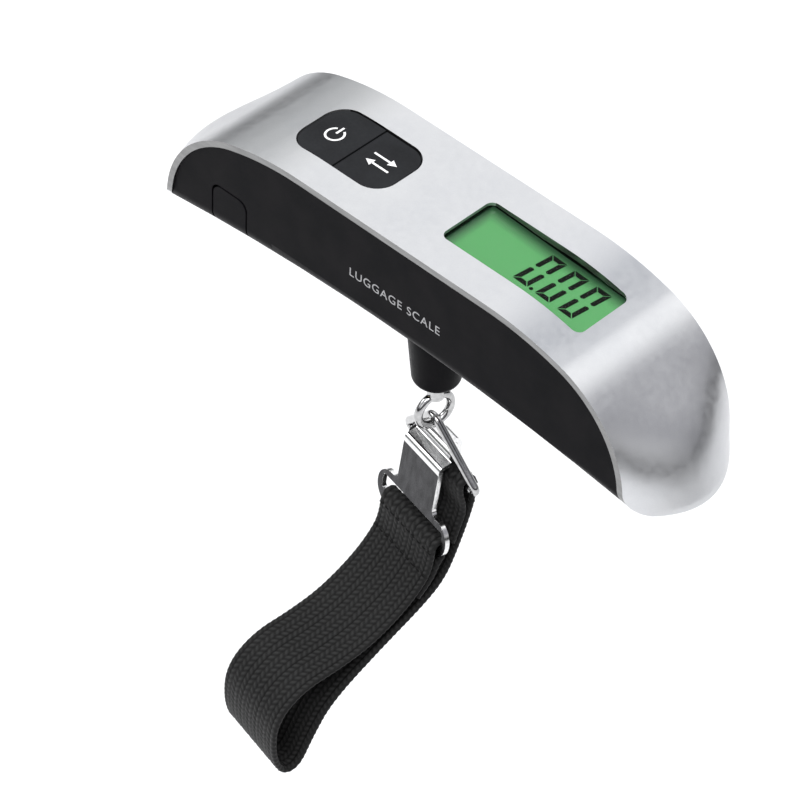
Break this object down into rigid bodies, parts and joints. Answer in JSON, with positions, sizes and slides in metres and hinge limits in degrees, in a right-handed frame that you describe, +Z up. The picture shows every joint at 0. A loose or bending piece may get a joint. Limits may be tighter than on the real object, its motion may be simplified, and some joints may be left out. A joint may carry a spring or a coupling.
{
  "type": "digital luggage scale",
  "caption": "Handheld digital luggage scale: arched silver grip with display and two keys, central stem, wire ring, hook plate and a webbing loop.",
  "frame": {"origin": "centre of the underside of the grip body, on the axis of the stem", "axes": "+Z up through the keys and display, +X along the grip towards the display end, -Y the side that faces the user"},
  "size_m": [0.1588, 0.0685, 0.151],
  "materials": {
    "silver_panel": "satin silver",
    "black_shell": "satin moulded",
    "key_black": "fine matte",
    "silicone_grey": "matte",
    "switch_steel": "satin",
    "clear_lens": "polished",
    "display_green": "polished",
    "light_guide": "polished",
    "zebra_rubber": "matte",
    "board_green": "solder mask",
    "screw_steel": "zinc plated",
    "epoxy_black": "glossy",
    "cell_aluminium": "milled",
    "gauge_foil": "foil",
    "ribbon_film": "film",
    "battery_steel": "polished",
    "spring_steel": "nickel plated",
    "bush_brass": "turned",
    "bright_chrome": "mirror",
    "dark_steel": "polished black nickel",
    "black_webbing": "coarse weave",
    "black_thread": "thread"
  },
  "bodies": {
    "grip": {"top_cover": "silver_panel", "lower_case": "black_shell", "key_membrane": "silicone_grey", "tact_switches": "switch_steel", "window_lens": "clear_lens", "lcd_glass": "display_green", "lcd_backlight": "light_guide", "zebra_strip": "zebra_rubber", "circuit_board": "board_green", "board_screws": "screw_steel", "chip_blob": "epoxy_black", "load_cell": "cell_aluminium", "strain_gauges": "gauge_foil", "load_cell_screws": "screw_steel", "sensor_ribbon": "ribbon_film", "coin_cell": "battery_steel", "contact_negative": "spring_steel", "contact_positive": "spring_steel", "case_screws": "screw_steel", "stem_bush": "bush_brass"},
    "power_key": {"power_key": "key_black"},
    "unit_key": {"unit_key": "key_black"},
    "battery_door": {"battery_door": "black_shell"},
    "eye": {"load_eye": "bright_chrome", "eye_nut": "screw_steel", "eye_washer": "screw_steel"},
    "ring": {"triangle_ring": "bright_chrome"},
    "strap": {"hook_plate": "dark_steel", "strap": "black_webbing", "strap_stitching": "black_thread"}
  },
  "joints": [
    {"name": "power_key_press", "type": "slide", "parent": "grip", "child": "power_key", "axis": [0, 0, -1], "range_m": [0, 0.0006], "stiffness_N_per_m": 1500},
    {"name": "unit_key_press", "type": "slide", "parent": "grip", "child": "unit_key", "axis": [0, 0, -1], "range_m": [0, 0.0006], "stiffness_N_per_m": 1500},
    {"name": "door_release", "type": "slide", "parent": "grip", "child": "battery_door", "axis": [0, 0, -1], "range_m": [0, 0.02]},
    {"name": "eye_swivel", "type": "hinge", "parent": "grip", "child": "eye", "pos_m": [0, 0, 0], "axis": [0, 0, 1], "continuous": true},
    {"name": "ring_swing", "type": "hinge", "parent": "eye", "child": "ring", "pos_m": [0, 0, -0.03595], "axis": [0.9781, -0.2079, 0], "range_deg": [-40, 40]},
    {"name": "strap_swing", "type": "hinge", "parent": "ring", "child": "strap", "pos_m": [0.00067, 0.00313, -0.0515], "axis": [0.9781, -0.2079, 0], "range_deg": [-28, 45]}
  ]
}
